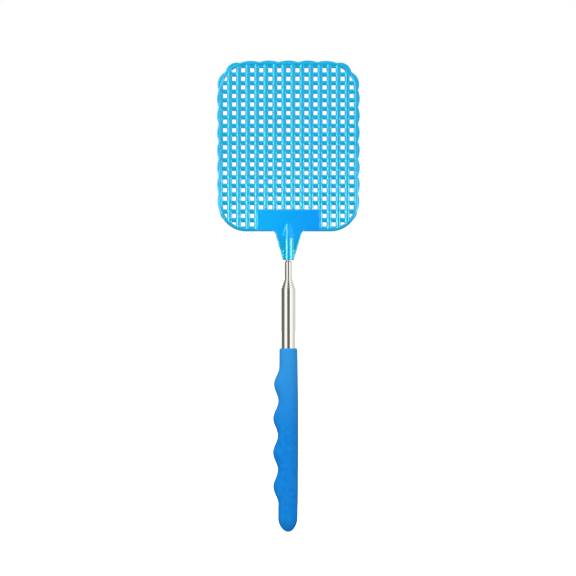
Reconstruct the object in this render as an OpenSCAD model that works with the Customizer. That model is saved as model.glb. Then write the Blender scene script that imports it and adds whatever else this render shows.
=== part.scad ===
// Telescopic fly swatter: a moulded mesh head on a five-section steel pole with a soft grip.
// The origin is the middle of the grip on the pole's axis. +Z runs up to the head, and its front faces -Y.

/* [Grip] */
// Length of the grip
grip_len = 109; // [90:1:140]
// Solid rubber below the pole in the grip's closed end
grip_end = 13.3; // [8:0.1:20]
// Rubber behind the pole, at the middle of the grip
back_wall = 1.75; // [1.4:0.05:4]
// Rubber beside the pole
side_wall = 1.9; // [1.4:0.1:4]
// Rubber on the finger side, at the top of the grip
finger_wall = 1.25; // [1:0.05:4]
// Rubber that the finger side gains from the top to the bottom
finger_swell = 0.8; // [0:0.1:2]
// How much higher the hollows lie in the middle of the row of bumps than at its ends
hollow_rise = 0.6; // [0:0.1:1.5]
// Rubber lost towards both ends, behind and beside the pole
end_thinning = 0.55; // [0:0.05:0.8]
// Number of finger bumps
bumps = 4; // [3:1:5]
// Height of a finger bump above the hollows
bump_h = 2.8; // [1:0.1:4]
// Plain length above the bumps
plain_top = 11.1; // [6:0.1:16]
// Plain length below the bumps, with the round end
plain_end = 16.6; // [12:0.1:20]
// Length of the round end
round_end = 8; // [6:0.1:12]
// Fullness of the round end, where 1 is a cone's and 2 is a ball's
end_fullness = 1.7; // [1.4:0.05:2.4]
// Rounding of the grip's top edge
grip_edge = 0.9; // [0.3:0.1:1.2]

/* [Pole] */
// Outside diameter of the outermost tube
pole_d = 8.4; // [7:0.1:12]
// Difference in diameter from one tube to the next
tube_step = 1.05; // [0.85:0.05:1.3]
// Wall thickness of every tube
tube_wall = 0.25; // [0.2:0.01:0.3]
// Length of the outermost tube above the grip
tube_1_out = 36; // [20:0.5:80]
// How far each closed tube stands above the last
tip_step = 1.5; // [1.2:0.1:5]
// How far the innermost tube stands above the fourth
tube_5_out = 11; // [5:0.1:20]
// How much higher each tube's foot stands than the last
foot_step = 4.5; // [3.5:0.1:8]
// Length of the bore at each rolled-in mouth
mouth_h = 0.9; // [0.6:0.1:2]
// Height of the flange on each foot bush and on the base plug
flange_h = 1.2; // [0.8:0.1:2]
// Length of each friction spring
spring_len = 8; // [6:0.5:16]
// Width of the slots in a friction spring
spring_slot = 0.8; // [0.4:0.1:1.2]
// Number of slots in a friction spring, with the one that splits it
spring_slots = 6; // [3:1:8]
// Length of the unslotted collar at each end of a friction spring
spring_collar = 1.3; // [1:0.1:2]

/* [Head stud] */
// Length of the stud's neck seen between the pole and the head
stud_gap = 0.8; // [0.5:0.1:6]
// How much smaller the stud's neck is than the innermost tube, in radius
stud_step = 0.6; // [0.45:0.05:0.8]
// Depth of the stud in the head's socket
stud_in_head = 14; // [8:0.5:18]
// Depth of the stud in the innermost tube
stud_in_tube = 12; // [6:0.5:25]

/* [Head] */
// Width of the head over the scallops
head_w = 84.7; // [60:0.1:120]
// Height of the head over the scallops
head_h = 101.4; // [70:0.1:140]
// Thickness of the frame, the plate and the neck
frame_t = 2.4; // [2:0.1:4]
// Thickness of the web between the ribs and of the scalloped edge
web_t = 1; // [0.8:0.1:1.6]
// Width of the frame around the mesh
frame_w = 2.1; // [1.5:0.1:4]
// Radius of the top corners
top_corner_r = 16.6; // [10:0.1:20]
// Radius of the bottom corners
bottom_corner_r = 16.2; // [10:0.1:20]
// Number of scallops along the straight top
top_scallops = 5; // [3:1:9]
// Number of scallops along each side
side_scallops = 7; // [4:1:12]
// How far a scallop stands out along the top and the sides
scallop_rise = 1; // [0.4:0.1:2]
// How far a scallop stands out round a top corner, over its own chord
corner_rise = 2.3; // [1.2:0.1:3]
// How far the lowest scallop on each side stands out
low_rise = 0.6; // [0.3:0.1:1.2]

/* [Mesh] */
// Side of a square hole
hole_w = 2.4; // [2:0.1:3.6]
// Distance between columns of holes
column_pitch = 5.36; // [4.6:0.01:8]
// Distance between rows of holes
row_pitch = 5.08; // [4.6:0.01:8]
// Height of the lowest row's centre above the bottom edge
first_row = 4.15; // [3.9:0.05:8]
// Least height of the highest row's centre below the top
last_row = 5.6; // [5:0.1:8]
// How far the ribs stand out of the web
rib_h = 0.6; // [0.3:0.05:0.65]
// Width of a rib's crest
rib_crest = 0.9; // [0.4:0.1:1.2]
// How far the foot of a rib lies inside the web, and clear of the holes
rib_root = 0.1; // [0.05:0.05:0.2]
// Columns that the solid plate takes up
plate_columns = 7; // [3:2:9]
// Rows that the solid plate takes up
plate_rows = 2; // [1:1:4]

/* [Neck] */
// Length of the neck below the head
neck_len = 17; // [16:0.5:30]
// Width of the neck where it meets the head
neck_top_w = 16.2; // [12:0.1:30]
// Width of the flat beside the socket at the neck's lower end
neck_land = 0.2; // [0.1:0.1:2]
// Radius where the neck flows into the head
neck_fillet = 1.6; // [0.5:0.1:4]
// Wall of the socket round the stud
socket_wall = 1.6; // [1:0.1:3]
// Length over which the socket fades into the plate
socket_fade = 7.5; // [4:0.1:10]
// Chamfer at the socket's mouth
socket_chamfer = 0.4; // [0.2:0.1:0.6]

/* [Fits] */
// Radial clearance of a sliding fit
slide_gap = 0.05; // [0.03:0.01:0.08]
// Radial clearance of a turning fit
turn_gap = 0.04; // [0.03:0.01:0.08]
// Radial clearance of a glued or pressed fit
seat_gap = 0.02; // [0.01:0.01:0.03]
// Axial clearance between parts that turn or rest on each other
rest_gap = 0.05; // [0.03:0.01:0.1]

/* [Hidden] */
$fn = 96;
blue = [0.10, 0.62, 0.95];
grip_blue = [0.10, 0.49, 0.83];
steel = [0.80, 0.80, 0.78];
stud_steel = [0.72, 0.72, 0.70];
brass = [0.80, 0.62, 0.25];
bronze = [0.72, 0.45, 0.25];
plug_grey = [0.30, 0.30, 0.32];

last = 5;
overcut = 1;
grip_bottom = -grip_len / 2;
grip_top = grip_len / 2;

// Radii and heights of tube i, where 1 is the outermost and 5 the innermost.
function tube_r(i) = (pole_d - (i - 1) * tube_step) / 2;
function bore_r(i) = tube_r(i) - tube_wall;
function foot_z(i) = grip_bottom + grip_end + flange_h + (i - 1) * foot_step;
function tip_z(i) = grip_top + tube_1_out + (min(i, last - 1) - 1) * tip_step + (i == last ? tube_5_out : 0);
function mouth_r(i) = i == last ? stud_r + seat_gap : tube_r(i + 1) + slide_gap;

stud_r = tube_r(last) - stud_step;
neck_z = tip_z(last) + stud_gap;
head_z = neck_z + neck_len;
spigot_h = foot_step - flange_h;

// The head's outline is measured to the hollows between its scallops.
edge_x = head_w / 2 - scallop_rise;
edge_z = head_z + head_h - scallop_rise;
top_centre = [edge_x - top_corner_r, edge_z - top_corner_r];
bottom_centre = [edge_x - bottom_corner_r, head_z + bottom_corner_r];
corner_hollows = [0, 40, 76];
low_hollows = [-33, -15];
arc_steps = 6;
corner_step = 6;

// The slack keeps a column or a row that only just fits.
count_slack = 0.01;
columns = 2 * floor((edge_x - frame_w - hole_w / 2) / column_pitch + count_slack) + 1;
rows = floor((head_h - first_row - last_row) / row_pitch + count_slack) + 1;
row_z = head_z + first_row;
plate_half = plate_columns * column_pitch / 2;
plate_top = row_z + (plate_rows - 1) * row_pitch + row_pitch - hole_w / 2;
rib_w = column_pitch - hole_w - rib_root;
bar_w = row_pitch - hole_w - rib_root;

// The point at an angle on a circle.
function on_circle(centre, r, angle) = centre + r * [cos(angle), sin(angle)];

// Points from p towards q along an arc that bulges by rise to the right of that way.
function bulge(p, q, rise) =
    let (
        chord = norm(q - p),
        along = (q - p) / chord,
        out = [along.y, -along.x],
        r = (chord * chord / 4 + rise * rise) / (2 * rise),
        centre = (p + q) / 2 + (rise - r) * out,
        half = asin(min(1, chord / 2 / r))
    )
    [for (k = [0 : arc_steps - 1])
        let (a = half * (2 * k / arc_steps - 1))
        centre + r * (cos(a) * out + sin(a) * along)];

// Hollows between scallops up the right side, round the top corner and along the top to its middle.
low_points = [for (a = low_hollows) on_circle(bottom_centre, bottom_corner_r, a)];
side_start = low_points[1].y;
side_points = [for (k = [1 : side_scallops - 1])
    [edge_x, side_start + (top_centre.y - side_start) * k / side_scallops]];
corner_points = [for (a = corner_hollows) on_circle(top_centre, top_corner_r, a)];
top_start = corner_points[2].x;
top_points = [for (k = [1 : top_scallops - 1]) [top_start * (1 - 2 * k / top_scallops), edge_z]];
left_of = function (points) [for (k = [len(points) - 1 : -1 : 0]) [-points[k].x, points[k].y]];

right_hollows = concat(low_points, side_points, corner_points);
right_rises = concat([low_rise], [for (k = side_points) scallop_rise],
    [scallop_rise, corner_rise, corner_rise]);
left_rises = [for (k = [len(right_rises) - 1 : -1 : 0]) right_rises[k]];
hollows = concat(right_hollows, top_points, left_of(right_hollows));
rises = concat(right_rises, [for (k = [1 : top_scallops]) scallop_rise], left_rises);
scallops = [for (k = [0 : len(hollows) - 2]) each bulge(hollows[k], hollows[k + 1], rises[k])];

// The plain arc of a bottom corner, from the bottom edge to its first hollow.
bottom_arc = [for (a = [-90 : corner_step : low_hollows[0] - 1])
    on_circle(bottom_centre, bottom_corner_r, a)];
head_outline = concat(bottom_arc, scallops, [hollows[len(hollows) - 1]], left_of(bottom_arc));

// A rounded rectangle that lies in by inset from the hollows between the scallops.
module frame_shape(inset) {
    corners = [
        concat(top_centre, [top_corner_r, 0]),
        concat([-top_centre.x, top_centre.y], [top_corner_r, 90]),
        concat([-bottom_centre.x, bottom_centre.y], [bottom_corner_r, 180]),
        concat(bottom_centre, [bottom_corner_r, 270])
    ];
    polygon([for (c = corners) for (a = [0 : corner_step : 90])
        on_circle([c[0], c[1]], c[2] - inset, c[3] + a)]);
}

// Square holes of the mesh, cut off round the corners and left out of the plate.
module mesh_holes() {
    intersection() {
        frame_shape(frame_w);
        for (c = [0 : columns - 1], r = [0 : rows - 1])
            if (r >= plate_rows || abs(c - (columns - 1) / 2) > (plate_columns - 1) / 2)
                translate([(c - (columns - 1) / 2) * column_pitch, row_z + r * row_pitch])
                    square(hole_w, center = true);
    }
}

// The neck: a flat taper with a concave arc on each side where it meets the head.
module neck_shape() {
    tip_half = stud_r + socket_wall + neck_land;
    top_half = neck_top_w / 2;
    slope = atan2(top_half - tip_half, neck_len);
    turn = 90 - slope;
    reach = neck_fillet * tan(turn / 2);
    centre = [top_half + reach, head_z - neck_fillet];
    side = concat(
        [[tip_half - socket_chamfer, neck_z], [tip_half, neck_z + socket_chamfer]],
        [for (k = [0 : arc_steps]) on_circle(centre, neck_fillet, 180 - slope - turn * k / arc_steps)],
        [[centre.x, head_z + frame_w]]
    );
    polygon(concat(side, left_of(side)));
}

// A flat shape in the X-Z plane, given a thickness centred on the mid-plane.
module slab(thickness) {
    rotate([90, 0, 0])
        linear_extrude(thickness, center = true)
            children();
}

// One rib of the mesh: a ridge along +Z that stands out of the web towards -Y.
module ridge(width, length) {
    foot = web_t / 2 - rib_root;
    crest = web_t / 2 + rib_h;
    linear_extrude(length)
        polygon([[-width / 2, -foot], [-rib_crest / 2, -crest], [rib_crest / 2, -crest], [width / 2, -foot]]);
}

module front_ribs() {
    for (c = [1 : columns - 1])
        translate([(c - columns / 2) * column_pitch, 0, head_z])
            ridge(rib_w, head_h);
}

module back_ribs() {
    for (r = [1 : rows - 1])
        translate([-head_w / 2, 0, row_z + (r - 0.5) * row_pitch])
            rotate([0, 90, 0])
                mirror([0, 1, 0])
                    ridge(bar_w, head_w);
}

// The round socket: a cylinder that narrows into the plate.
module socket() {
    r = stud_r + socket_wall;
    straight = stud_in_head + rest_gap;
    translate([0, 0, neck_z])
        rotate_extrude()
            polygon([
                [0, 0], [r - socket_chamfer, 0], [r, socket_chamfer],
                [r, straight], [frame_t / 2, straight + socket_fade], [0, straight + socket_fade]
            ]);
}

module swatter_head() {
    color(blue)
        difference() {
            union() {
                slab(web_t)
                    difference() {
                        polygon(head_outline);
                        mesh_holes();
                    }
                slab(frame_t) {
                    difference() {
                        frame_shape(0);
                        frame_shape(frame_w);
                    }
                    translate([-plate_half, head_z + frame_w / 2])
                        square([2 * plate_half, plate_top - head_z - frame_w / 2]);
                    neck_shape();
                }
                intersection() {
                    slab(frame_t + overcut)
                        frame_shape(frame_w / 2);
                    union() {
                        front_ribs();
                        back_ribs();
                    }
                }
                socket();
            }
            translate([0, 0, neck_z - overcut])
                cylinder(r = stud_r + seat_gap, h = stud_in_head + rest_gap + overcut);
        }
}

// The stud: a thin neck for the head and a thick end that the last tube's mouth holds in.
module head_stud() {
    thick_r = bore_r(last) - seat_gap;
    shoulder_z = tip_z(last) - mouth_h - rest_gap;
    color(stud_steel)
        rotate_extrude()
            polygon([
                [0, shoulder_z - stud_in_tube], [thick_r, shoulder_z - stud_in_tube],
                [thick_r, shoulder_z], [stud_r, shoulder_z],
                [stud_r, neck_z + stud_in_head], [0, neck_z + stud_in_head]
            ]);
}

// A tube whose mouth is rolled in until it just clears what comes out of it.
module tube(i) {
    tip = tip_z(i);
    roll = tube_r(i) - mouth_r(i);
    quarter = [for (a = [0 : 15 : 90]) on_circle([mouth_r(i), tip - roll], roll, a)];
    color(steel)
        rotate_extrude()
            polygon(concat(
                [[bore_r(i), foot_z(i)], [tube_r(i), foot_z(i)]],
                quarter,
                [[mouth_r(i), tip - mouth_h], [bore_r(i), tip - mouth_h]]
            ));
}

// A plug in the foot of tube i, with a flange that the tube stands on.
module foot_plug(i, flange_r) {
    translate([0, 0, foot_z(i) - flange_h])
        cylinder(r = flange_r, h = flange_h);
    translate([0, 0, foot_z(i) - flange_h / 2])
        cylinder(r = bore_r(i) - seat_gap, h = flange_h / 2 + spigot_h - rest_gap);
}

module foot_bush(i) {
    color(brass)
        foot_plug(i, bore_r(i - 1) - slide_gap);
}

module base_plug() {
    color(plug_grey)
        foot_plug(1, tube_r(1));
}

// A split sleeve in the gap between tube i and the one outside it, with long slots that let it spring.
module friction_spring(i) {
    color(bronze)
        translate([0, 0, foot_z(i) + rest_gap])
            difference() {
                cylinder(r = bore_r(i - 1) - slide_gap, h = spring_len);
                translate([0, 0, -overcut])
                    cylinder(r = tube_r(i) + turn_gap, h = spring_len + 2 * overcut);
                translate([0, -spring_slot / 2, -overcut])
                    cube([pole_d, spring_slot, spring_len + 2 * overcut]);
                for (k = [1 : spring_slots - 1])
                    rotate([0, 0, 360 * k / spring_slots])
                        translate([0, -spring_slot / 2, spring_collar])
                            cube([pole_d, spring_slot, spring_len - 2 * spring_collar]);
            }
}

// The grip's skin at height h above its lower end: how far it lies from the axis on each side.
function end_scale(h) = h >= round_end ? 1 : sqrt(1 - pow(1 - h / round_end, end_fullness));
function edge_loss(h) =
    let (down = grip_len - h)
    down >= grip_edge ? 0 : grip_edge - sqrt(grip_edge * grip_edge - pow(grip_edge - down, 2));
function bump_at(h) =
    let (u = (h - plain_end) / (grip_len - plain_top - plain_end))
    u <= 0 || u >= 1 ? 0 : bump_h * (1 - cos(360 * bumps * u)) / 2 + hollow_rise * sin(180 * u);
function off_middle(h) = 2 * h / grip_len - 1;
function back_r(h) = tube_r(1) + back_wall - end_thinning * pow(off_middle(h), 2);
function side_r(h) = tube_r(1) + side_wall - end_thinning * pow(off_middle(h), 2);
function finger_r(h) = tube_r(1) + finger_wall + finger_swell * (1 - h / grip_len) + bump_at(h);
function grip_point(h, angle) =
    let (
        across = cos(angle) > 0 ? back_r(h) : finger_r(h),
        s = end_scale(h),
        loss = edge_loss(h)
    )
    [(across * s - loss) * cos(angle), (side_r(h) * s - loss) * sin(angle), grip_bottom + h];

module grip_skin() {
    sides = 28;
    tip_rings = 7;
    body_rings = 36;
    edge_rings = 3;
    heights = concat(
        [for (k = [1 : tip_rings]) round_end * pow(k / tip_rings, 2)],
        [for (k = [1 : body_rings]) round_end + (grip_len - grip_edge - round_end) * k / body_rings],
        [for (k = [1 : edge_rings]) grip_len - grip_edge * (1 - sin(90 * k / edge_rings))]
    );
    rings = len(heights);
    skin = [for (h = heights) for (k = [0 : sides - 1]) grip_point(h, 360 * k / sides)];
    tip = rings * sides;
    polyhedron(
        concat(skin, [[0, 0, grip_bottom]]),
        concat(
            [for (k = [0 : sides - 1]) [tip, k, (k + 1) % sides]],
            [for (r = [0 : rings - 2]) for (k = [0 : sides - 1])
                let (a = r * sides + k, b = r * sides + (k + 1) % sides)
                each [[a, a + sides, b], [b, a + sides, b + sides]]],
            [[for (k = [sides - 1 : -1 : 0]) (rings - 1) * sides + k]]
        )
    );
}

module grip() {
    color(grip_blue)
        difference() {
            grip_skin();
            translate([0, 0, foot_z(1) - flange_h])
                cylinder(r = tube_r(1) + seat_gap, h = grip_len);
        }
}

grip();
base_plug();
tube(1);  // tube_1
tube(2);  // tube_2
tube(3);  // tube_3
tube(4);  // tube_4
tube(5);  // tube_5
foot_bush(2);  // foot_bush_2
foot_bush(3);  // foot_bush_3
foot_bush(4);  // foot_bush_4
foot_bush(5);  // foot_bush_5
friction_spring(2);  // friction_spring_2
friction_spring(3);  // friction_spring_3
friction_spring(4);  // friction_spring_4
friction_spring(5);  // friction_spring_5
head_stud();
swatter_head();
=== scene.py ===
import math

import bpy
import numpy as np
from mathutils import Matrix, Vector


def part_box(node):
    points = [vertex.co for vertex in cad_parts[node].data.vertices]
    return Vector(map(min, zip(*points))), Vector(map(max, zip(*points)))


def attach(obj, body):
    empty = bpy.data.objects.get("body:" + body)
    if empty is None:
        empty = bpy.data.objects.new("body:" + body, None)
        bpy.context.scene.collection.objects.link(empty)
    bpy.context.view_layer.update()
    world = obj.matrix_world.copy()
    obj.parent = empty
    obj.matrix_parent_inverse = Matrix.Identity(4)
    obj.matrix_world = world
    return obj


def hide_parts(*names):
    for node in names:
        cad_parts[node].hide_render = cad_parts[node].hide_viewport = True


# Telescopic fly swatter: the moulded head, the soft grip and the steel pole, made as numpy surfaces
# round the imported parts. Sizes in the dictionaries are millimetres, except the lamps', which are metres.
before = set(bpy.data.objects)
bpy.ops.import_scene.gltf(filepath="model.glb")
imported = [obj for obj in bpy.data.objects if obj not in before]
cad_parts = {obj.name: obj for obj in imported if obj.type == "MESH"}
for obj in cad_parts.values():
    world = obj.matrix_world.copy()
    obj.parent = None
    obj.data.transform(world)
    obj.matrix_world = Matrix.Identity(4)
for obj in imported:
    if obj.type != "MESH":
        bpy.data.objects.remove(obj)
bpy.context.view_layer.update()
print("packed frame loaded:", len(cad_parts), "parts")

mm = 0.001


def low(part):
    return np.array(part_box(part)[0]) / mm


def high(part):
    return np.array(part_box(part)[1]) / mm


# --- turning arrays into meshes ---

# Signed volume of the faces, as the sum of the cones from the origin: below zero when they face inwards.
def facesInwards(points, faces):
    total = 0.0
    sizes = np.array([len(f) for f in faces])
    for size in np.unique(sizes):
        ring = np.array([f for f in faces if len(f) == size])
        a = points[ring[:, 0]]
        for k in range(1, size - 1):
            total += np.einsum("ij,ij->", a, np.cross(points[ring[:, k]], points[ring[:, k + 1]]))
    return total < 0


def meshObject(name, points, faces, sharpAngle=35):
    if facesInwards(points, faces):
        faces = [f[::-1] for f in faces]
    mesh = bpy.data.meshes.new(name)
    mesh.from_pydata((points * mm).tolist(), [], faces)
    mesh.update()
    piece = bpy.data.objects.new(name, mesh)
    bpy.context.scene.collection.objects.link(piece)
    smooth(mesh, sharpAngle)
    return piece


def smooth(mesh, sharpAngle):
    mesh.shade_smooth()
    mesh.set_sharp_from_angle(angle=math.radians(sharpAngle))


# Quads of a grid that runs right round in its columns, and in its rows too when they make a loop.
# Open ends are closed by one flat face each.
def ringGrid(points, loop=False):
    rows, columns = points.shape[:2]
    index = np.arange(rows * columns).reshape(rows, columns)
    a = index if loop else index[:-1]
    b = np.roll(index, -1, axis=0) if loop else index[1:]
    quads = np.stack([a, np.roll(a, -1, axis=1), np.roll(b, -1, axis=1), b], axis=-1).reshape(-1, 4)
    faces = quads.tolist()
    if not loop:
        faces.append(index[0][::-1].tolist())
        faces.append(index[-1].tolist())
    return points.reshape(-1, 3), faces


# A profile of (radius, height) turned about the pole's axis.
def lathe(profile, segments):
    turn = np.linspace(0, 2 * np.pi, segments, endpoint=False)
    r, z = np.array(profile, float).T[:, :, None]
    return np.stack([r * np.cos(turn), r * np.sin(turn), z + 0 * turn], axis=-1)


# Joins or cuts with other pieces, and bakes the result into the piece's own mesh.
def combine(piece, operation, tool):
    step = piece.modifiers.new("join", "BOOLEAN")
    step.operation = operation
    step.solver = "MANIFOLD"
    step.object = tool
    bpy.context.view_layer.update()
    graph = bpy.context.evaluated_depsgraph_get()
    joined = bpy.data.meshes.new_from_object(piece.evaluated_get(graph))
    piece.modifiers.clear()
    old = piece.data
    piece.data = joined
    joined.name = piece.name
    bpy.data.meshes.remove(old)
    bpy.data.meshes.remove(tool.data)


# --- shader groups shared by the materials ---

def link(tree, source, target):
    tree.links.new(source, target)


def node(tree, kind, **values):
    made = tree.nodes.new(kind)
    for name, value in values.items():
        setattr(made, name, value)
    return made


def shaderGroup(name, inputs, outputs):
    group = bpy.data.node_groups.new(name, "ShaderNodeTree")
    for label, default in inputs.items():
        socket = group.interface.new_socket(name=label, in_out="INPUT", socket_type="NodeSocketFloat")
        socket.default_value = default
    for label in outputs:
        group.interface.new_socket(name=label, in_out="OUTPUT", socket_type="NodeSocketFloat")
    return group, node(group, "NodeGroupInput"), node(group, "NodeGroupOutput")


# Fine grain: object-space noise stretched along the pole, brought between a low and a high value.
def makeGrain():
    inputs = {"Scale": 400, "Stretch": 1, "Detail": 3, "Low": 0, "High": 1}
    group, given, out = shaderGroup("grain", inputs, ["Value"])
    place = node(group, "ShaderNodeTexCoord")
    squeeze = node(group, "ShaderNodeCombineXYZ")
    squeeze.inputs["X"].default_value = 1
    squeeze.inputs["Y"].default_value = 1
    link(group, given.outputs["Stretch"], squeeze.inputs["Z"])
    along = node(group, "ShaderNodeVectorMath", operation="MULTIPLY")
    link(group, place.outputs["Object"], along.inputs[0])
    link(group, squeeze.outputs[0], along.inputs[1])
    noise = node(group, "ShaderNodeTexNoise")
    link(group, along.outputs[0], noise.inputs["Vector"])
    link(group, given.outputs["Scale"], noise.inputs["Scale"])
    link(group, given.outputs["Detail"], noise.inputs["Detail"])
    spread = node(group, "ShaderNodeMapRange")
    spread.inputs["From Min"].default_value = 0.3
    spread.inputs["From Max"].default_value = 0.7
    link(group, noise.outputs["Fac"], spread.inputs["Value"])
    link(group, given.outputs["Low"], spread.inputs["To Min"])
    link(group, given.outputs["High"], spread.inputs["To Max"])
    link(group, spread.outputs["Result"], out.inputs["Value"])
    return group


grain = makeGrain()


def addGrain(tree, **values):
    made = node(tree, "ShaderNodeGroup", node_tree=grain)
    for label, value in values.items():
        made.inputs[label].default_value = value
    return made.outputs["Value"]


def material(name, **values):
    made = bpy.data.materials.new(name)
    made.use_nodes = True
    shader = made.node_tree.nodes["Principled BSDF"]
    for label, value in values.items():
        shader.inputs[label.replace("_", " ")].default_value = value
    return made, made.node_tree, shader


# Two colours mixed by a mask. Each is a plain colour, or another node's output.
def blendColours(tree, mask, first, second):
    mix = node(tree, "ShaderNodeMix", data_type="RGBA")
    link(tree, mask, mix.inputs["Factor"])
    for label, colour in (("A", first), ("B", second)):
        if isinstance(colour, tuple):
            mix.inputs[label].default_value = (*colour, 1)
        else:
            link(tree, colour, mix.inputs[label])
    return mix.outputs["Result"]


# The place on the object along each axis.
def objectAxes(tree):
    place, axes = node(tree, "ShaderNodeTexCoord"), node(tree, "ShaderNodeSeparateXYZ")
    link(tree, place.outputs["Object"], axes.inputs[0])
    return axes.outputs


# A value brought to 0 at a start and 1 at an end, both in millimetres.
def ramp(tree, value, start, end, kind="LINEAR"):
    spread = node(tree, "ShaderNodeMapRange", interpolation_type=kind)
    spread.inputs["From Min"].default_value = start * mm
    spread.inputs["From Max"].default_value = end * mm
    link(tree, value, spread.inputs["Value"])
    return spread.outputs["Result"]


def product(tree, a, b):
    both = node(tree, "ShaderNodeMath", operation="MULTIPLY")
    link(tree, a, both.inputs[0])
    link(tree, b, both.inputs[1])
    return both.outputs[0]


# Roughness that the grain moves between its two values.
def addRoughness(tree, shader, roughness, **values):
    link(tree, addGrain(tree, Low=roughness[0], High=roughness[1], **values), shader.inputs["Roughness"])


def addBump(tree, shader, height, strength, distance):
    bump = node(tree, "ShaderNodeBump")
    bump.inputs["Strength"].default_value = strength
    bump.inputs["Distance"].default_value = distance * mm
    link(tree, height, bump.inputs["Height"])
    link(tree, bump.outputs["Normal"], shader.inputs["Normal"])


def dress(piece, finish, body, slot, *parts):
    piece.data.materials.clear()
    piece.data.materials.append(finish)
    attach(piece, body)
    if parts:
        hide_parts(*parts)


# --- swatter head ---

headLook = {
    "blue": (0.001, 0.36, 0.78),
    # the next two are painted shade: a darker blue for the plate's right side, and one for the mesh and the
    # neck's lower end
    "shadedRightBlue": (0.001, 0.262, 0.77),
    "shadedBlue": (0.002, 0.31, 0.54),
    "sheen": (0.34, 0.94, 1.0), "gloss": 0.66,
    "roughness": (0.09, 0.17),
    "plateColourHalf": 18.9, "plateColourLevels": (-8, -1, 12.4, 12.8),
}


# The plastic's blue with painted shade: a mask in object space, one over the plate and fading down the
# neck, outside which the mesh and the neck's lower end take a darker blue of painted shade, and the share
# of the way across the plate, over which painted shade darkens the plate's blue to the right, away from the
# light.
def plateMask(tree):
    axes, half = objectAxes(tree), headLook["plateColourHalf"]
    start, full, stop, gone = [headBottom + v for v in headLook["plateColourLevels"]]
    side = node(tree, "ShaderNodeMath", operation="ABSOLUTE")
    link(tree, axes["X"], side.inputs[0])
    within = node(tree, "ShaderNodeMath", operation="LESS_THAN")
    within.inputs[1].default_value = half * mm
    link(tree, side.outputs[0], within.inputs[0])
    upAndDown = product(tree, ramp(tree, axes["Z"], start, full), ramp(tree, axes["Z"], gone, stop))
    return product(tree, upAndDown, within.outputs[0]), ramp(tree, axes["X"], -half, half)


# Glossy plastic: a darker blue of painted shade in the mesh and down the neck, and in the plate a blue that
# painted shade deepens from left to right.
def headPlastic():
    made, tree, shader = material("headPlastic", IOR=1.58, Specular_IOR_Level=headLook["gloss"],
                                  Specular_Tint=(*headLook["sheen"], 1))
    mask, across = plateMask(tree)
    # painted shade: the plate's blue darkens from left to right, and the mesh and the neck's lower end take
    # a darker blue
    thick = blendColours(tree, across, headLook["blue"], headLook["shadedRightBlue"])
    link(tree, blendColours(tree, mask, headLook["shadedBlue"], thick), shader.inputs["Base Color"])
    addRoughness(tree, shader, headLook["roughness"], Scale=260)
    addBump(tree, shader, addGrain(tree, Scale=900, Detail=2), 0.15, 0.05)
    return made


head = {
    "height": 101.4,
    "topCorner": 16.6, "bottomCorner": 16.2,
    "scallopRise": 1.0, "cornerRise": 2.3, "lowRise": 0.6,
    "sideScallops": 7, "topScallops": 5,
    "cornerHollows": (0, 40, 76), "lowHollows": (-33, -15),
    "beadWidth": 2.1, "beadHalf": 1.17, "beadFullness": 2.3,
    "flangeHalf": 0.5, "flangeFullness": 3, "flangeFoot": 0.06, "leastFlange": 0.02,
    "columns": 15, "rows": 19, "columnPitch": 5.36, "rowPitch": 5.08, "hole": 2.4, "firstRow": 4.15,
    "plateColumns": 7, "plateRows": 2,
    "land": 0.1, "ribRise": 1.1, "webRise": 0.75, "ribSquareness": 2.0, "webSquareness": 2.0,
    "leastGap": 0.05, "trimHalf": 3,
}
headTop = high("swatter_head")[2]
headBottom = headTop - head["height"]
edgeX = high("swatter_head")[0] - head["scallopRise"]
edgeZ = headTop - head["scallopRise"]
topCentre = np.array([edgeX - head["topCorner"], edgeZ - head["topCorner"]])
bottomCentre = np.array([edgeX - head["bottomCorner"], headBottom + head["bottomCorner"]])

# Lengths of the half outline's straights and arcs, from the middle of the bottom round to that of the top.
outlineLengths = np.array([
    bottomCentre[0], head["bottomCorner"] * np.pi / 2, topCentre[1] - bottomCentre[1],
    head["topCorner"] * np.pi / 2, topCentre[0],
])
outlineMarks = np.concatenate([[0], np.cumsum(outlineLengths)])


# Points and outward normals of the right half of a rounded rectangle at a length along it: a straight
# goes on in its own direction, and on an arc the angle is the length over the radius.
def roundedOutline(s):
    m = outlineMarks
    lower = (s - m[1]) / head["bottomCorner"] - np.pi / 2
    upper = (s - m[3]) / head["topCorner"]
    stretch = [s < m[1], s < m[2], s < m[3], s < m[4]]
    angle = np.select(stretch, [-np.pi / 2, lower, 0 * s, upper], np.pi / 2)
    normal = np.stack([np.cos(angle), np.sin(angle)], axis=-1)
    x = np.select(stretch, [
        s, bottomCentre[0] + head["bottomCorner"] * np.cos(lower), edgeX + 0 * s,
        topCentre[0] + head["topCorner"] * np.cos(upper),
    ], topCentre[0] - (s - m[4]))
    z = np.select(stretch, [
        headBottom + 0 * s, bottomCentre[1] + head["bottomCorner"] * np.sin(lower),
        bottomCentre[1] + (s - m[2]), topCentre[1] + head["topCorner"] * np.sin(upper),
    ], edgeZ)
    return np.stack([x, z], axis=-1), normal


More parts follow.
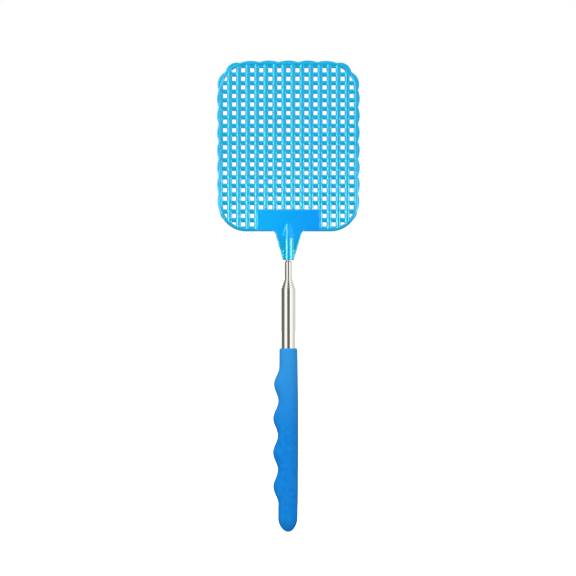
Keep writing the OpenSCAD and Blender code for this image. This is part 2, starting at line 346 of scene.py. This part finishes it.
# Lengths along the half outline at which the hollows between scallops lie, and each scallop's rise.
def scallopHollows():
    m = outlineMarks
    lowHollows = m[1] + head["bottomCorner"] * np.radians(np.array(head["lowHollows"]) + 90)
    sideStart = bottomCentre[1] + head["bottomCorner"] * np.sin(np.radians(head["lowHollows"][1]))
    steps = np.arange(1, head["sideScallops"]) / head["sideScallops"]
    side = m[2] + sideStart + (topCentre[1] - sideStart) * steps - bottomCentre[1]
    corner = m[3] + head["topCorner"] * np.radians(np.array(head["cornerHollows"]))
    topStart = topCentre[0] + head["topCorner"] * np.cos(np.radians(head["cornerHollows"][-1]))
    steps = np.arange(1, (head["topScallops"] + 1) // 2) / head["topScallops"]
    top = m[4] + topCentre[0] - topStart * (1 - 2 * steps)
    hollows = np.concatenate([lowHollows, side, corner, top, [2 * m[5] - top[-1]]])
    rise = head["scallopRise"]
    rises = [head["lowRise"]] + [rise] * head["sideScallops"] + [head["cornerRise"]] * 2
    rises += [rise] * (len(hollows) - 1 - len(rises))
    return hollows, np.array(rises)


# How far a scallop stands out from the outline: along the outline's normal, to the circle through the
# scallop's two hollows that rises by its own rise over their chord.
def scallopReach(s, point, normal, hollows, rises):
    ends, _ = mirroredOutline(hollows)
    p, q = ends[:-1], ends[1:]
    chord = np.linalg.norm(q - p, axis=1)
    along = (q - p) / chord[:, None]
    out = np.stack([along[:, 1], -along[:, 0]], axis=-1)
    radius = (chord ** 2 / 4 + rises ** 2) / (2 * rises)
    centre = (p + q) / 2 + (rises - radius)[:, None] * out
    k = np.clip(np.searchsorted(hollows, s, side="right") - 1, 0, len(rises) - 1)
    offset = point - centre[k]
    across = np.einsum("ij,ij->i", offset, normal)
    inside = across ** 2 - np.einsum("ij,ij->i", offset, offset) + radius[k] ** 2
    return np.where(s < hollows[0], 0, np.sqrt(np.maximum(inside, 0)) - across)


# The outline beyond the middle of the top is the same half, seen in the mirror.
def mirroredOutline(s):
    whole = outlineMarks[-1]
    point, normal = roundedOutline(np.where(s > whole, 2 * whole - s, s))
    flip = np.where(s > whole, -1.0, 1.0)
    return point * np.stack([flip, 1 + 0 * flip], -1), normal * np.stack([flip, 1 + 0 * flip], -1)


# The frame: a rounded bead with a thin scalloped flange, carried round the outline. The bead is a
# superellipse, and the flange a flatter one that reaches the scallop's edge.
def frameRing():
    hollows, rises = scallopHollows()
    plain = np.concatenate([np.linspace(0, outlineMarks[1], 7)[:-1],
                            np.linspace(outlineMarks[1], hollows[0], 10)[:-1]])
    share = np.arange(12) / 12
    scallops = (hollows[:-1, None] + np.diff(hollows)[:, None] * share).ravel()
    s = np.concatenate([plain, scallops])
    s = s[s < outlineMarks[-1] - 1e-6]
    s = np.append(s, outlineMarks[-1])
    point, normal = mirroredOutline(s)
    reach = np.maximum(scallopReach(s, point, normal, hollows, rises), head["leastFlange"])
    mirror = np.array([-1, 1])
    point = np.concatenate([point, point[-2:0:-1] * mirror])
    normal = np.concatenate([normal, normal[-2:0:-1] * mirror])
    reach = np.concatenate([reach, reach[-2:0:-1]])[:, None]
    half, power = head["beadWidth"] / 2, 2 / head["beadFullness"]
    t = np.radians([180, 165, 145, 120, 90, 60, 35])
    bead = -half + half * np.sign(np.cos(t)) * np.abs(np.cos(t)) ** power
    beadHigh = head["beadHalf"] * np.sin(t) ** power
    foot, power = -head["flangeFoot"], 2 / head["flangeFullness"]
    t = np.radians([90, 60, 40, 20])
    flange = foot + (reach - foot) * np.cos(t) ** power
    flangeHigh = head["flangeHalf"] * np.sin(t) ** power
    ones = np.ones_like(reach)
    out = np.hstack([bead * ones, flange, reach, flange[:, ::-1], bead[:0:-1] * ones])
    y = np.hstack([-beadHigh * ones, -flangeHigh * ones, 0 * reach,
                   flangeHigh[::-1] * ones, beadHigh[:0:-1] * ones])
    place = point[:, None, :] + out[:, :, None] * normal[:, None, :]
    return meshObject("frameRing", *ringGrid(np.stack([place[..., 0], y, place[..., 1]], -1), loop=True))


# Lattice lines across the bars between holes: both edges of each bar and a few lines inside it.
def barLines(middles, half):
    shares = np.array([-1, -0.95, -0.76, -0.42, 0, 0.42, 0.76, 0.95, 1])
    return (middles[:, None] + half * shares).ravel()


# How high a bar stands at a distance from its middle, in half widths: a superellipse over a narrow land.
def barHeight(u, rise, squareness):
    return head["land"] + rise * np.maximum(1 - u ** squareness, 0) ** (1 / squareness)


# The mesh: a lattice of bars with a front and a back height at each crossing. Upright ribs stand out in
# front and level ribs behind. Cells that are holes are left out, and a wall joins front to back round them.
def meshPanel():
    halfX = (head["columnPitch"] - head["hole"]) / 2
    halfZ = (head["rowPitch"] - head["hole"]) / 2
    bead, gap = head["beadWidth"] / 2, head["leastGap"]
    middleX = (np.arange(head["columns"] + 1) - head["columns"] / 2) * head["columnPitch"]
    middleZ = headBottom + head["firstRow"] + (np.arange(head["rows"] + 1) - 0.5) * head["rowPitch"]
    x, z = barLines(middleX, halfX), barLines(middleZ, halfZ)
    x = np.concatenate([[-edgeX + bead], x[np.abs(x) < edgeX - bead - gap], [edgeX - bead]])
    z = np.concatenate([[headBottom + bead], z[(z > headBottom + bead + gap) & (z < edgeZ - bead - gap)],
                        [edgeZ - bead]])
    nearX = np.abs(x[:, None] - middleX)
    nearZ = np.abs(z[:, None] - middleZ)
    u, v = nearX.min(1) / halfX, nearZ.min(1) / halfZ
    inner = (nearX.argmin(1) > 0) & (nearX.argmin(1) < head["columns"])
    innerZ = (nearZ.argmin(1) > 0) & (nearZ.argmin(1) < head["rows"])
    full, flat = head["ribSquareness"], head["webSquareness"]
    upright = barHeight(u, np.where(inner, head["ribRise"], head["webRise"]), np.where(inner, full, flat))
    uprightBack = barHeight(u, head["webRise"], flat)
    level = barHeight(v, np.where(innerZ, head["ribRise"], head["webRise"]), np.where(innerZ, full, flat))
    levelFront = barHeight(v, head["webRise"], flat)
    gridX, gridZ = np.meshgrid(x, z)
    front = -np.maximum(upright[None, :], levelFront[:, None])
    back = np.maximum(uprightBack[None, :], level[:, None])
    points = np.concatenate([np.stack([gridX, front, gridZ], -1).reshape(-1, 3),
                             np.stack([gridX, back, gridZ], -1).reshape(-1, 3)])
    midX, midZ = (x[1:] + x[:-1]) / 2, (z[1:] + z[:-1]) / 2
    openX = np.abs(midX[:, None] - middleX).min(1) > halfX
    openZ = np.abs(midZ[:, None] - middleZ).min(1) > halfZ
    openX &= np.abs(midX) < middleX[-1]
    openZ &= (midZ > middleZ[0]) & (midZ < middleZ[-1])
    plate = (np.abs(midX) < head["plateColumns"] * head["columnPitch"] / 2)[None, :]
    plate = plate & (midZ < middleZ[head["plateRows"]])[:, None]
    solid = ~(openX[None, :] & openZ[:, None]) | plate
    index = np.arange(len(x) * len(z)).reshape(len(z), len(x))
    shift = index.size
    corners = np.stack([index[:-1, :-1], index[:-1, 1:], index[1:, 1:], index[1:, :-1]], -1)[solid]
    faces = [corners, corners[:, ::-1] + shift]
    wide = np.pad(solid, 1)
    # a wall stands on each lattice edge with a solid cell on one side only
    below, above = wide[:-1, 1:-1], wide[1:, 1:-1]
    left, right = wide[1:-1, :-1], wide[1:-1, 1:]
    for mask, a, b in (
        (above & ~below, index[:, 1:], index[:, :-1]), (below & ~above, index[:, :-1], index[:, 1:]),
        (right & ~left, index[:-1], index[1:]), (left & ~right, index[1:], index[:-1]),
    ):
        faces.append(np.stack([a, b, b + shift, a + shift], -1)[mask])
    faces = np.concatenate(faces)
    return meshObject("swatterHead", points, faces.tolist())


# A slab with the outline's shape, drawn in by half the bead, that trims the panel's corners.
def panelTrimmer():
    s = np.concatenate([np.linspace(outlineMarks[k], outlineMarks[k + 1], 15)[:-1] for k in range(5)])
    point, normal = roundedOutline(np.append(s, outlineMarks[-1]))
    point = point - normal * (head["beadWidth"] / 2)
    loop = np.concatenate([point, point[-2:0:-1] * np.array([-1, 1])])
    half = head["trimHalf"]
    sheet = np.stack([np.stack([loop[:, 0], 0 * loop[:, 0] + y, loop[:, 1]], -1) for y in (-half, half)])
    return meshObject("panelTrimmer", *ringGrid(sheet))


neck = {
    "length": 17, "tipHalf": 3.3, "topHalf": 8.1, "fillet": 1.6, "chamfer": 0.4,
    "half": 1.2, "edge": 0.6, "core": 2.95, "coreClear": 0.6, "cornerCut": 0.12, "leastSide": 0.02,
    "tipThinning": 0.4, "turnOver": (30, 60, 90),
    "socketR": 3.1, "socketStraight": 13, "socketFade": 9.5, "blend": 0.8, "tipBlend": 0.08,
    "boreR": 1.52, "boreDepth": 14.05, "mouthFlare": 1.08, "mouthDepth": 0.15,
}


# The larger of two heights, rounded over where they cross.
def softMax(a, b, width):
    h = np.clip(0.5 + 0.5 * (a - b) / width, 0, 1)
    return b * (1 - h) + a * h + width * h * (1 - h)


# Half widths and heights of the neck's side: a straight taper, a concave arc into the head, and then the
# plate's own side above the bead's middle.
def neckSide():
    slope = math.atan2(neck["topHalf"] - neck["tipHalf"], neck["length"])
    turn = math.pi / 2 - slope
    reach = neck["fillet"] * math.tan(turn / 2)
    centre = np.array([neck["topHalf"] + reach, headBottom - neck["fillet"]])
    angle = np.pi - slope - turn * np.linspace(0, 1, 9)
    arc = centre + neck["fillet"] * np.stack([np.cos(angle), np.sin(angle)], -1)
    neckZ = low("swatter_head")[2]
    cut = neck["cornerCut"]
    tip = np.array([[neck["tipHalf"] - neck["chamfer"], neckZ], [neck["tipHalf"] - cut, neckZ + cut],
                    [neck["tipHalf"], neckZ + neck["chamfer"]]])
    straight = tip[-1] + (arc[0] - tip[-1]) * np.linspace(0, 1, 16)[1:-1, None]
    ledge = headBottom + head["beadWidth"] / 2
    plateHalf = head["plateColumns"] * head["columnPitch"] / 2
    plateTop = headBottom + head["firstRow"] + head["plateRows"] * head["rowPitch"] - head["hole"] / 2
    up = np.stack([np.full(3, arc[-1, 0]), np.linspace(headBottom, ledge, 4)[1:]], -1)
    plate = np.stack([np.full(18, plateHalf), np.linspace(ledge, plateTop - neck["edge"], 18)], -1)
    turnOver = np.radians(neck["turnOver"])
    top = np.stack([plateHalf - neck["edge"] * (1 - np.cos(turnOver)),
                    plateTop - neck["edge"] * (1 - np.sin(turnOver))], -1)
    return np.concatenate([tip, straight, arc, up, plate, top]), len(top)


# Neck and plate: a flat, round-edged section carried up the side above, with the socket's half round
# standing out of it, fading into the plate.
def neckAndPlate():
    side, turned = neckSide()
    width, z = side[:, 0:1], side[:, 1:2]
    fade = np.clip((z - z[0] - neck["socketStraight"]) / neck["socketFade"], 0, 1)
    blend = neck["blend"] + (neck["tipBlend"] - neck["blend"]) * fade
    sink = (neck["socketR"] - neck["half"] + blend) * fade * (0.5 + 0.5 * fade)
    chamfer = np.maximum(neck["chamfer"] - (z - z[0]), 0)
    r = neck["socketR"] - chamfer
    half = np.full_like(z, neck["half"]) - neck["tipThinning"] * chamfer
    half[-turned:, 0] -= neck["edge"] * (1 - np.cos(np.radians(neck["turnOver"])))
    inner = np.linspace(-1, 1, 25) * np.minimum(neck["core"], width - neck["edge"] * neck["coreClear"])
    share = np.array([0.3, 0.65, 0.97, 1])
    start = inner[:, -1:]
    outer = start + share * np.maximum(width - neck["edge"] - start, neck["leastSide"])
    x = np.hstack([-outer[:, ::-1], inner, outer])
    socket = np.sqrt(np.maximum(r ** 2 - x ** 2, 0)) - sink
    y = softMax(socket, half + 0 * x, blend)
    roll = np.radians([25, 50, 75])
    radius = np.minimum(neck["edge"], width - outer[:, -1:])
    rollX = outer[:, -1:] + radius * np.sin(roll)
    rollY = y[:, -1:] - neck["edge"] * (1 - np.cos(roll))
    sideX = outer[:, -1:] + radius
    sideY = y[:, -1:] - neck["edge"]
    frontX = np.hstack([-sideX, -rollX[:, ::-1], x, rollX, sideX])
    frontY = np.hstack([sideY, rollY[:, ::-1], y, rollY, sideY])
    loopX = np.hstack([frontX, frontX[:, ::-1]])
    loopY = np.hstack([-frontY, frontY[:, ::-1]])
    body = np.stack([loopX, loopY, z + 0 * loopX], -1)
    angle = np.arctan2(loopY[0], loopX[0])
    circle = np.stack([neck["boreR"] * np.cos(angle), neck["boreR"] * np.sin(angle)], -1)
    levels = (neck["boreDepth"], neck["mouthDepth"], 0)
    bore = [np.column_stack([circle, np.full(len(angle), z[0, 0] + h)]) for h in levels]
    bore[2][:, :2] *= neck["mouthFlare"]
    return meshObject("neckAndPlate", *ringGrid(np.concatenate([np.stack(bore), body])))


swatterHead = meshPanel()
combine(swatterHead, "INTERSECT", panelTrimmer())
combine(swatterHead, "UNION", frameRing())
combine(swatterHead, "UNION", neckAndPlate())
smooth(swatterHead.data, 35)
dress(swatterHead, headPlastic(), "section_5", "head_plastic", "swatter_head")
print("swatter head:", len(swatterHead.data.polygons), "faces")

# --- grip ---

grip = {
    "backWall": 1.75, "sideWall": 1.9, "fingerWall": 1.25, "fingerSwell": 0.8, "hollowRise": 0.6,
    "endThinning": 0.55, "bumps": 4, "bumpHeight": 2.8, "plainTop": 11.1, "plainEnd": 16.6,
    "roundEnd": 8, "fullness": 1.7, "edge": 0.9, "boreFit": 0.02, "boreFlare": 0.1,
    "sides": 96, "unevenness": 0.045,
    # the top blue is painted light: the rubber is made paler where more light falls on its upper end
    "blue": (0.001, 0.175, 0.59), "paleBlue": (0.005, 0.215, 0.63), "litTopBlue": (0.025, 0.255, 0.63),
    "roughness": (0.62, 0.8), "litFrom": 50,
}


# Dull rubber, mottled between two blues, with painted light making it paler towards the top.
def gripRubber():
    made, tree, shader = material("gripRubber", IOR=1.45, Specular_IOR_Level=0.12)
    mottle = addGrain(tree, Scale=330, Detail=4)
    start, end = low("grip")[2] + grip["litFrom"], high("grip")[2]
    # painted light: the rubber turns paler towards the top
    litUpward = ramp(tree, objectAxes(tree)["Z"], start, end, "SMOOTHSTEP")
    body = blendColours(tree, mottle, grip["blue"], grip["paleBlue"])
    link(tree, blendColours(tree, litUpward, body, grip["litTopBlue"]), shader.inputs["Base Color"])
    addRoughness(tree, shader, grip["roughness"], Scale=500)
    addBump(tree, shader, addGrain(tree, Scale=650, Detail=4), 0.5, 0.15)
    return made


# Skin of the grip: on each side the wall over the pole, thinner towards both ends. The finger side adds a
# row of cosine bumps, and the low end closes in a superellipse.
def gripSkin():
    lowEnd, topEnd = low("grip")[2], high("grip")[2]
    length, poleR = topEnd - lowEnd, high("tube_1")[0]
    tip = grip["roundEnd"] * (np.arange(0.35, 14) / 14) ** 2
    middle = np.linspace(grip["roundEnd"], length - grip["edge"], 150)
    turnIn = np.radians(np.linspace(0, 90, 7)[1:])
    h = np.concatenate([tip, middle, length - grip["edge"] * (1 - np.sin(turnIn))])[:, None]
    angle = np.linspace(0, 2 * np.pi, grip["sides"], endpoint=False)
    swell = h / length
    u = np.clip((h - grip["plainEnd"]) / (length - grip["plainTop"] - grip["plainEnd"]), 0, 1)
    bump = grip["bumpHeight"] * (1 - np.cos(2 * np.pi * grip["bumps"] * u)) / 2
    bump = bump + grip["hollowRise"] * np.sin(np.pi * u)
    thin = grip["endThinning"] * (2 * swell - 1) ** 2
    backR = poleR + grip["backWall"] - thin
    sideR = poleR + grip["sideWall"] - thin
    fingerR = poleR + grip["fingerWall"] + grip["fingerSwell"] * (1 - swell) + bump
    closing = np.sqrt(1 - (1 - np.clip(h / grip["roundEnd"], 0, 1)) ** grip["fullness"])
    down = np.clip(length - h, 0, grip["edge"])
    loss = grip["edge"] - np.sqrt(grip["edge"] ** 2 - (grip["edge"] - down) ** 2)
    across = np.where(np.cos(angle) > 0, backR, fingerR)
    wave = grip["unevenness"] * np.sin(3 * angle + 0.31 * h) * np.sin(0.53 * h + 2 * angle + 1.3)
    inside = np.clip(h / grip["roundEnd"], 0, 1) * (length - h) / length
    x = (across * closing - loss - grip["unevenness"] + wave * inside) * np.cos(angle)
    y = (sideR * closing - loss - grip["unevenness"] + wave * inside) * np.sin(angle)
    skin = np.stack([x, y, lowEnd + h + 0 * x], -1)
    boreR, flare = poleR + grip["boreFit"], grip["boreFlare"]
    boreEnd = low("base_plug")[2]
    circle = np.stack([np.cos(angle), np.sin(angle), 0 * angle], -1)
    bore = np.stack([circle * [r, r, 0] + [0, 0, height] for r, height in (
        (boreR + flare, topEnd), (boreR, topEnd - flare), (boreR, boreEnd))])
    return meshObject("gripSleeve", *ringGrid(np.concatenate([skin, bore])), sharpAngle=50)


gripSleeve = gripSkin()
dress(gripSleeve, gripRubber(), "handle", "grip_rubber", "grip")
print("grip:", len(gripSleeve.data.polygons), "faces")

# --- pole ---

pole = {
    "wall": 0.25, "mouth": 0.9, "slide": 0.05, "segments": 128,
    "studR": 1.5, "studFit": 0.02, "studChamfer": 0.3, "studGap": 0.05, "studSegments": 64,
    "footChamfer": 0.2, "shoulderChamfer": 0.1,
}
poleLook = {"steel": (0.80, 0.785, 0.755), "darkShare": 0.93, "roughness": (0.05, 0.11)}
studLook = {"steel": (0.72, 0.71, 0.69), "darkShare": 0.93, "roughness": (0.07, 0.14)}


# Bare steel whose tone and fine scratches are drawn out along the pole.
def drawnSteel(name, look, stretch):
    made, tree, shader = material(name, Metallic=1.0)
    tone = addGrain(tree, Scale=120, Stretch=0.1)
    dark = tuple(look["darkShare"] * c for c in look["steel"])
    link(tree, blendColours(tree, tone, look["steel"], dark), shader.inputs["Base Color"])
    addRoughness(tree, shader, look["roughness"], Scale=900, Stretch=stretch)
    addBump(tree, shader, addGrain(tree, Scale=1500, Stretch=stretch, Detail=2), 0.02, 0.02)
    return made


# A tube: its wall turned round the axis, its mouth rolled in by a quarter round to what comes out of it.
def poleTube(i, mouthR):
    part = f"tube_{i}"
    r, foot, tip = high(part)[0], low(part)[2], high(part)[2]
    bore, roll = r - pole["wall"], r - mouthR
    quarter = np.radians(np.linspace(0, 90, 9))
    lip = np.stack([mouthR + roll * np.cos(quarter), tip - roll + roll * np.sin(quarter)], -1)
    profile = np.concatenate([
        [[bore, foot], [r, foot]], [[r, foot + (tip - roll - foot) * t] for t in (0.02, 0.5, 0.98)], lip,
        [[mouthR, tip - pole["mouth"]], [bore, tip - pole["mouth"]]],
    ])
    return meshObject(f"poleTube{i}", *ringGrid(lathe(profile, pole["segments"]), loop=True)), part


steel = drawnSteel("poleSteel", poleLook, 0.02)
for i in range(1, 6):
    mouthR = high(f"tube_{i + 1}")[0] + pole["slide"] if i < 5 else pole["studR"] + pole["studFit"]
    tube, part = poleTube(i, mouthR)
    dress(tube, steel, "handle" if i == 1 else f"section_{i}", "tube_steel", part)

studTop, studFoot = high("head_stud")[2], low("head_stud")[2]
thick = high("head_stud")[0]
shoulder = high("tube_5")[2] - pole["mouth"] - pole["studGap"]
footCut, shoulderCut, tipCut = pole["footChamfer"], pole["shoulderChamfer"], pole["studChamfer"]
profile = [[thick - footCut, studFoot], [thick, studFoot + footCut], [thick, shoulder - shoulderCut],
           [thick - shoulderCut, shoulder], [pole["studR"], shoulder], [pole["studR"], studTop - tipCut],
           [pole["studR"] - tipCut, studTop]]
stud = meshObject("headStud", *ringGrid(lathe(profile, pole["studSegments"])))
dress(stud, drawnSteel("studSteel", studLook, 0.2), "section_5", "stud_steel", "head_stud")
print("pole: five tubes and the stud")

# --- small parts inside the pole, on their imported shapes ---

innerDull = 0.8
innerLooks = {
    "bushBrass": {"metal": 1.0, "colour": (0.78, 0.57, 0.25), "roughness": (0.22, 0.38)},
    "springBronze": {"metal": 1.0, "colour": (0.70, 0.42, 0.22), "roughness": (0.25, 0.40)},
    "plugNylon": {"metal": 0.0, "colour": (0.045, 0.045, 0.05), "roughness": (0.45, 0.6)},
}


# Metal or nylon that varies from its colour to a duller share of it.
def innerFinish(name):
    look = innerLooks[name]
    made, tree, shader = material(name, Metallic=look["metal"])
    dull = tuple(innerDull * c for c in look["colour"])
    tone = addGrain(tree, Scale=300, Stretch=3)
    link(tree, blendColours(tree, tone, look["colour"], dull), shader.inputs["Base Color"])
    addRoughness(tree, shader, look["roughness"], Scale=700, Stretch=8)
    addBump(tree, shader, addGrain(tree, Scale=1100, Stretch=8), 0.2, 0.03)
    return made


innerFinishes = {name: innerFinish(name) for name in innerLooks}
innerParts = {"foot_bush": "bushBrass", "friction_spring": "springBronze", "base_plug": "plugNylon"}
for part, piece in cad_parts.items():
    for start, finish in innerParts.items():
        if part.startswith(start):
            piece.data.materials.clear()
            piece.data.materials.append(innerFinishes[finish])
print("inner parts dressed")

# --- studio ---

studio = {
    "lens": 135, "view": 341.7, "middle": 90.2, "aside": 0.24,
    "nadir": 0.5, "zenith": 0.8,
    "floorDrop": 0.3, "floorReach": 6000, "floorSides": 64, "floorShade": 0.8, "floorGlow": 1.0,
    "cardReach": 900, "cardBottom": -400, "cardTop": 900, "cardWarmth": 0.97,
}
# where each card starts and ends round the pole, in degrees from the camera, and its shade
cards = {
    "cardLeftFar": (-148, -66, 0.18), "cardLeft": (-66, -19, 1.22), "cardByCamera": (-19, 23, 0.14),
    "cardRight": (23, 68, 1.25), "cardRightMiddle": (68, 86, 0.94), "cardRightFar": (86, 119, 0.78),
    "cardBehind": (119, 212, 0.85),
}
# start and end in degrees from the camera, reach, bottom and top in metres, and radiance
softboxes = {
    "softboxFront": (-40, 16, 1, 0.35, 1.25, 4.9), "softboxBack": (150, 210, 1, 0.35, 1.25, 4),
}
strips = {
    "stripLeftLow": (-54, -22, 0.85, -0.05, 0.182, 12.8), "stripLeft": (-54, -22, 0.85, 0.182, 1.0, 4.96),
    "stripRight": (36, 90, 0.6, -0.05, 0.19, 8.8),
    "stripBackLeft": (205, 225, 0.95, -0.05, 0.4, 8), "stripBackRight": (130, 150, 0.95, -0.05, 0.4, 8),
}


# A dull surface that also gives off light of its own.
def glowingMaterial(name, base, colour, strength, gloss):
    return material(name, Roughness=0.9, Specular_IOR_Level=gloss, Base_Color=(*base, 1),
                    Emission_Color=(*colour, 1), Emission_Strength=strength)[0]


# A plain pale floor, a wide disc just under the grip.
def paleFloor():
    turn = np.linspace(0, 2 * np.pi, studio["floorSides"], endpoint=False)
    reach, z = studio["floorReach"], low("grip")[2] - studio["floorDrop"]
    rim = np.stack([reach * np.cos(turn), reach * np.sin(turn), 0 * turn + z], -1)
    piece = meshObject("floor", rim, [list(range(len(turn)))])
    shade = studio["floorShade"]
    paper = glowingMaterial("floorPaper", (shade, shade, shade), (1, 1, 1), studio["floorGlow"], 0.5)
    piece.data.materials.append(paper)
    piece.visible_diffuse = piece.visible_glossy = False


# Upright cards round the swatter that only reflections see: they give the polished tubes their dark bands.
def reflectionCard(name, start, end, shade):
    angle = np.radians(np.linspace(start, end, 24))[None, :]
    height = np.array([[studio["cardBottom"]], [studio["cardTop"]]])
    reach = studio["cardReach"]
    x, y = reach * np.sin(angle) + 0 * height, -reach * np.cos(angle) + 0 * height
    points = np.stack([x, y, height + 0 * angle], -1)
    index = np.arange(points[..., 0].size).reshape(points.shape[:2])
    quads = np.stack([index[0, :-1], index[0, 1:], index[1, 1:], index[1, :-1]], -1)
    piece = meshObject(name, points.reshape(-1, 3), quads.tolist())
    tint = (shade, shade, shade * studio["cardWarmth"])
    piece.data.materials.append(glowingMaterial(name, (0, 0, 0), tint, 1.0, 0))
    piece.visible_camera = piece.visible_diffuse = piece.visible_shadow = piece.visible_transmission = False


# The strips light only the plastic head, and the steel takes its bands from the cards.
sheenPieces = bpy.data.collections.new("sheenPieces")
sheenPieces.objects.link(swatterHead)


# An upright softbox that fills the angles from start to end round the pole, as seen from it. The wide ones
# light the surfaces and the narrow strips give the head its sheen. Energy is radiance times pi times area.
def softbox(name, start, end, reach, bottom, top, radiance, sheen):
    middle, half = math.radians((start + end) / 2), math.radians((end - start) / 2)
    width, height = 2 * reach * math.tan(half), top - bottom
    lamp = bpy.data.lights.new(name, "AREA")
    lamp.shape = "RECTANGLE"
    lamp.size, lamp.size_y = width, height
    lamp.energy = radiance * math.pi * width * height
    piece = bpy.data.objects.new(name, lamp)
    bpy.context.scene.collection.objects.link(piece)
    piece.location = (reach * math.sin(middle), -reach * math.cos(middle), (top + bottom) / 2)
    piece.rotation_euler = (math.pi / 2, 0, middle)
    piece.visible_camera = False
    piece.visible_glossy, piece.visible_diffuse = sheen, not sheen
    if sheen:
        piece.light_linking.receiver_collection = sheenPieces


# White to the camera, and to everything else a grey from the nadir's value below to the zenith's above.
def whiteSurround():
    world = bpy.data.worlds.new("whiteSurround")
    bpy.context.scene.world = world
    world.use_nodes = True
    tree = world.node_tree
    background = tree.nodes["Background"]
    ray = node(tree, "ShaderNodeLightPath")
    direction = node(tree, "ShaderNodeSeparateXYZ")
    link(tree, node(tree, "ShaderNodeTexCoord").outputs["Generated"], direction.inputs[0])
    dome = node(tree, "ShaderNodeMapRange")
    dome.inputs["From Min"].default_value = -1
    dome.inputs["To Min"].default_value = studio["nadir"]
    dome.inputs["To Max"].default_value = studio["zenith"]
    link(tree, direction.outputs["Z"], dome.inputs["Value"])
    seen = node(tree, "ShaderNodeMix", data_type="FLOAT")
    seen.inputs["B"].default_value = 1.0
    link(tree, ray.outputs["Is Camera Ray"], seen.inputs["Factor"])
    link(tree, dome.outputs["Result"], seen.inputs["A"])
    link(tree, seen.outputs["Result"], background.inputs["Strength"])
    background.inputs["Color"].default_value = (1, 1, 1, 1)


paleFloor()
whiteSurround()
for name, values in cards.items():
    reflectionCard(name, *values)
for name, values in softboxes.items():
    softbox(name, *values, sheen=False)
for name, values in strips.items():
    softbox(name, *values, sheen=True)

lens = bpy.data.cameras.new("camera")
lens.lens = studio["lens"]
lens.sensor_width = 36
camera = bpy.data.objects.new("camera", lens)
bpy.context.scene.collection.objects.link(camera)
distance = studio["view"] * mm * lens.lens / lens.sensor_width
camera.location = (-studio["aside"] * mm, -distance, studio["middle"] * mm)
camera.rotation_euler = (math.pi / 2, 0, 0)
lens.clip_start, lens.clip_end = 0.01, 50
bpy.context.scene.camera = camera
bpy.context.scene.view_settings.view_transform = "Standard"
print("studio and camera ready")

bpy.context.view_layer.update()
